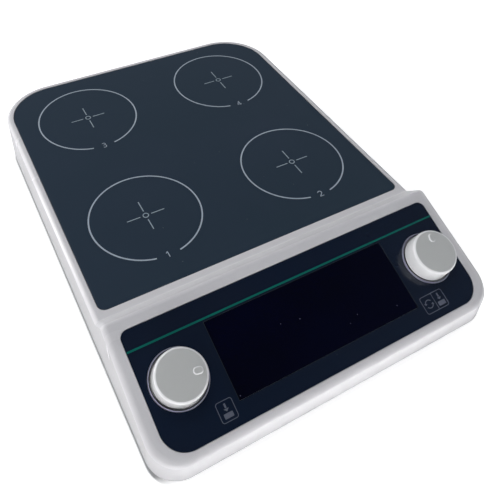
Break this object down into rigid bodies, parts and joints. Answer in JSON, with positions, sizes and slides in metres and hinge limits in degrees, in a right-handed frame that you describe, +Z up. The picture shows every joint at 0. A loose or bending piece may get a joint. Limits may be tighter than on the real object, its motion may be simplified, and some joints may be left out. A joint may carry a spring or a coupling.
{
  "type": "multi-position magnetic stirrer",
  "caption": "Low bench-top magnetic stirrer: dark glass deck over rows of stirring stations, raised tilted control panel with display and turn-and-push knobs.",
  "frame": {"origin": "on the surface that the feet stand on, under the middle of the body", "axes": "+X to the right of someone who faces the controls, +Y to the back, +Z up"},
  "size_m": [0.28, 0.3922, 0.0615],
  "materials": {
    "white_plastic": "satin moulded white",
    "dark_glass": "dark printed underside",
    "panel_face": "glossy navy",
    "display_window": "near black",
    "knob_white": "satin",
    "ring_grey": "satin grey",
    "pan_grey": "fine texture",
    "rubber": "matt black",
    "steel": "machined",
    "zinc_plate": "zinc plated",
    "magnet_nickel": "nickel plated",
    "carrier_plastic": "moulded",
    "board_green": "solder mask",
    "black_plastic": "moulded"
  },
  "bodies": {
    "housing": {"top_housing": "white_plastic", "deck_plate": "dark_glass", "control_panel": "panel_face", "display_window": "display_window", "knob_ring_left": "ring_grey", "knob_ring_right": "ring_grey", "encoder_left": "black_plastic", "encoder_right": "black_plastic", "encoder_nut_left": "steel", "encoder_nut_right": "steel", "control_board": "board_green", "display_module": "black_plastic", "main_board": "board_green", "chassis_plate": "zinc_plate", "chassis_screw_1": "steel", "chassis_screw_2": "steel", "chassis_screw_3": "steel", "chassis_screw_4": "steel", "motor_1": "zinc_plate", "motor_2": "zinc_plate", "motor_3": "zinc_plate", "motor_4": "zinc_plate", "base_pan": "pan_grey", "foot_front_left": "rubber", "foot_front_right": "rubber", "foot_rear_left": "rubber", "foot_rear_right": "rubber", "case_screw_1": "steel", "case_screw_2": "steel", "case_screw_3": "steel", "case_screw_4": "steel", "case_screw_5": "steel", "case_screw_6": "steel", "power_switch_frame": "black_plastic", "dc_jack": "black_plastic"},
    "push_left": {"push_actuator_left": "black_plastic"},
    "push_right": {"push_actuator_right": "black_plastic"},
    "turn_left": {"knob_left": "knob_white", "encoder_shaft_left": "steel"},
    "turn_right": {"knob_right": "knob_white", "encoder_shaft_right": "steel"},
    "drive_1": {"rotor_1": "carrier_plastic", "motor_shaft_1": "steel", "magnet_1a": "magnet_nickel", "magnet_1b": "magnet_nickel"},
    "drive_2": {"rotor_2": "carrier_plastic", "motor_shaft_2": "steel", "magnet_2a": "magnet_nickel", "magnet_2b": "magnet_nickel"},
    "drive_3": {"rotor_3": "carrier_plastic", "motor_shaft_3": "steel", "magnet_3a": "magnet_nickel", "magnet_3b": "magnet_nickel"},
    "drive_4": {"rotor_4": "carrier_plastic", "motor_shaft_4": "steel", "magnet_4a": "magnet_nickel", "magnet_4b": "magnet_nickel"},
    "rocker": {"power_rocker": "black_plastic"}
  },
  "joints": [
    {"name": "push_knob_left", "type": "slide", "parent": "housing", "child": "push_left", "axis": [0, 0.342, -0.9397], "range_m": [0, 0.0005], "stiffness_N_per_m": 1500, "springref_m": -0.0005},
    {"name": "push_knob_right", "type": "slide", "parent": "housing", "child": "push_right", "axis": [0, 0.342, -0.9397], "range_m": [0, 0.0005], "stiffness_N_per_m": 1500, "springref_m": -0.0005},
    {"name": "turn_knob_left", "type": "hinge", "parent": "push_left", "child": "turn_left", "pos_m": [-0.10435, -0.15013, 0.04296], "axis": [0, -0.342, 0.9397], "continuous": true},
    {"name": "turn_knob_right", "type": "hinge", "parent": "push_right", "child": "turn_right", "pos_m": [0.10435, -0.15013, 0.04296], "axis": [0, -0.342, 0.9397], "continuous": true},
    {"name": "spin_rotor_1", "type": "hinge", "parent": "housing", "child": "drive_1", "pos_m": [-0.06945, -0.01378, 0.033], "axis": [0, 0, 1], "continuous": true},
    {"name": "spin_rotor_2", "type": "hinge", "parent": "housing", "child": "drive_2", "pos_m": [0.06945, -0.01378, 0.033], "axis": [0, 0, 1], "continuous": true},
    {"name": "spin_rotor_3", "type": "hinge", "parent": "housing", "child": "drive_3", "pos_m": [-0.06945, 0.12552, 0.033], "axis": [0, 0, 1], "continuous": true},
    {"name": "spin_rotor_4", "type": "hinge", "parent": "housing", "child": "drive_4", "pos_m": [0.06945, 0.12552, 0.033], "axis": [0, 0, 1], "continuous": true},
    {"name": "rock_switch", "type": "hinge", "parent": "housing", "child": "rocker", "pos_m": [0.0335, 0.19115, 0.0235], "axis": [0, 0, -1], "range_deg": [0, 14]}
  ]
}
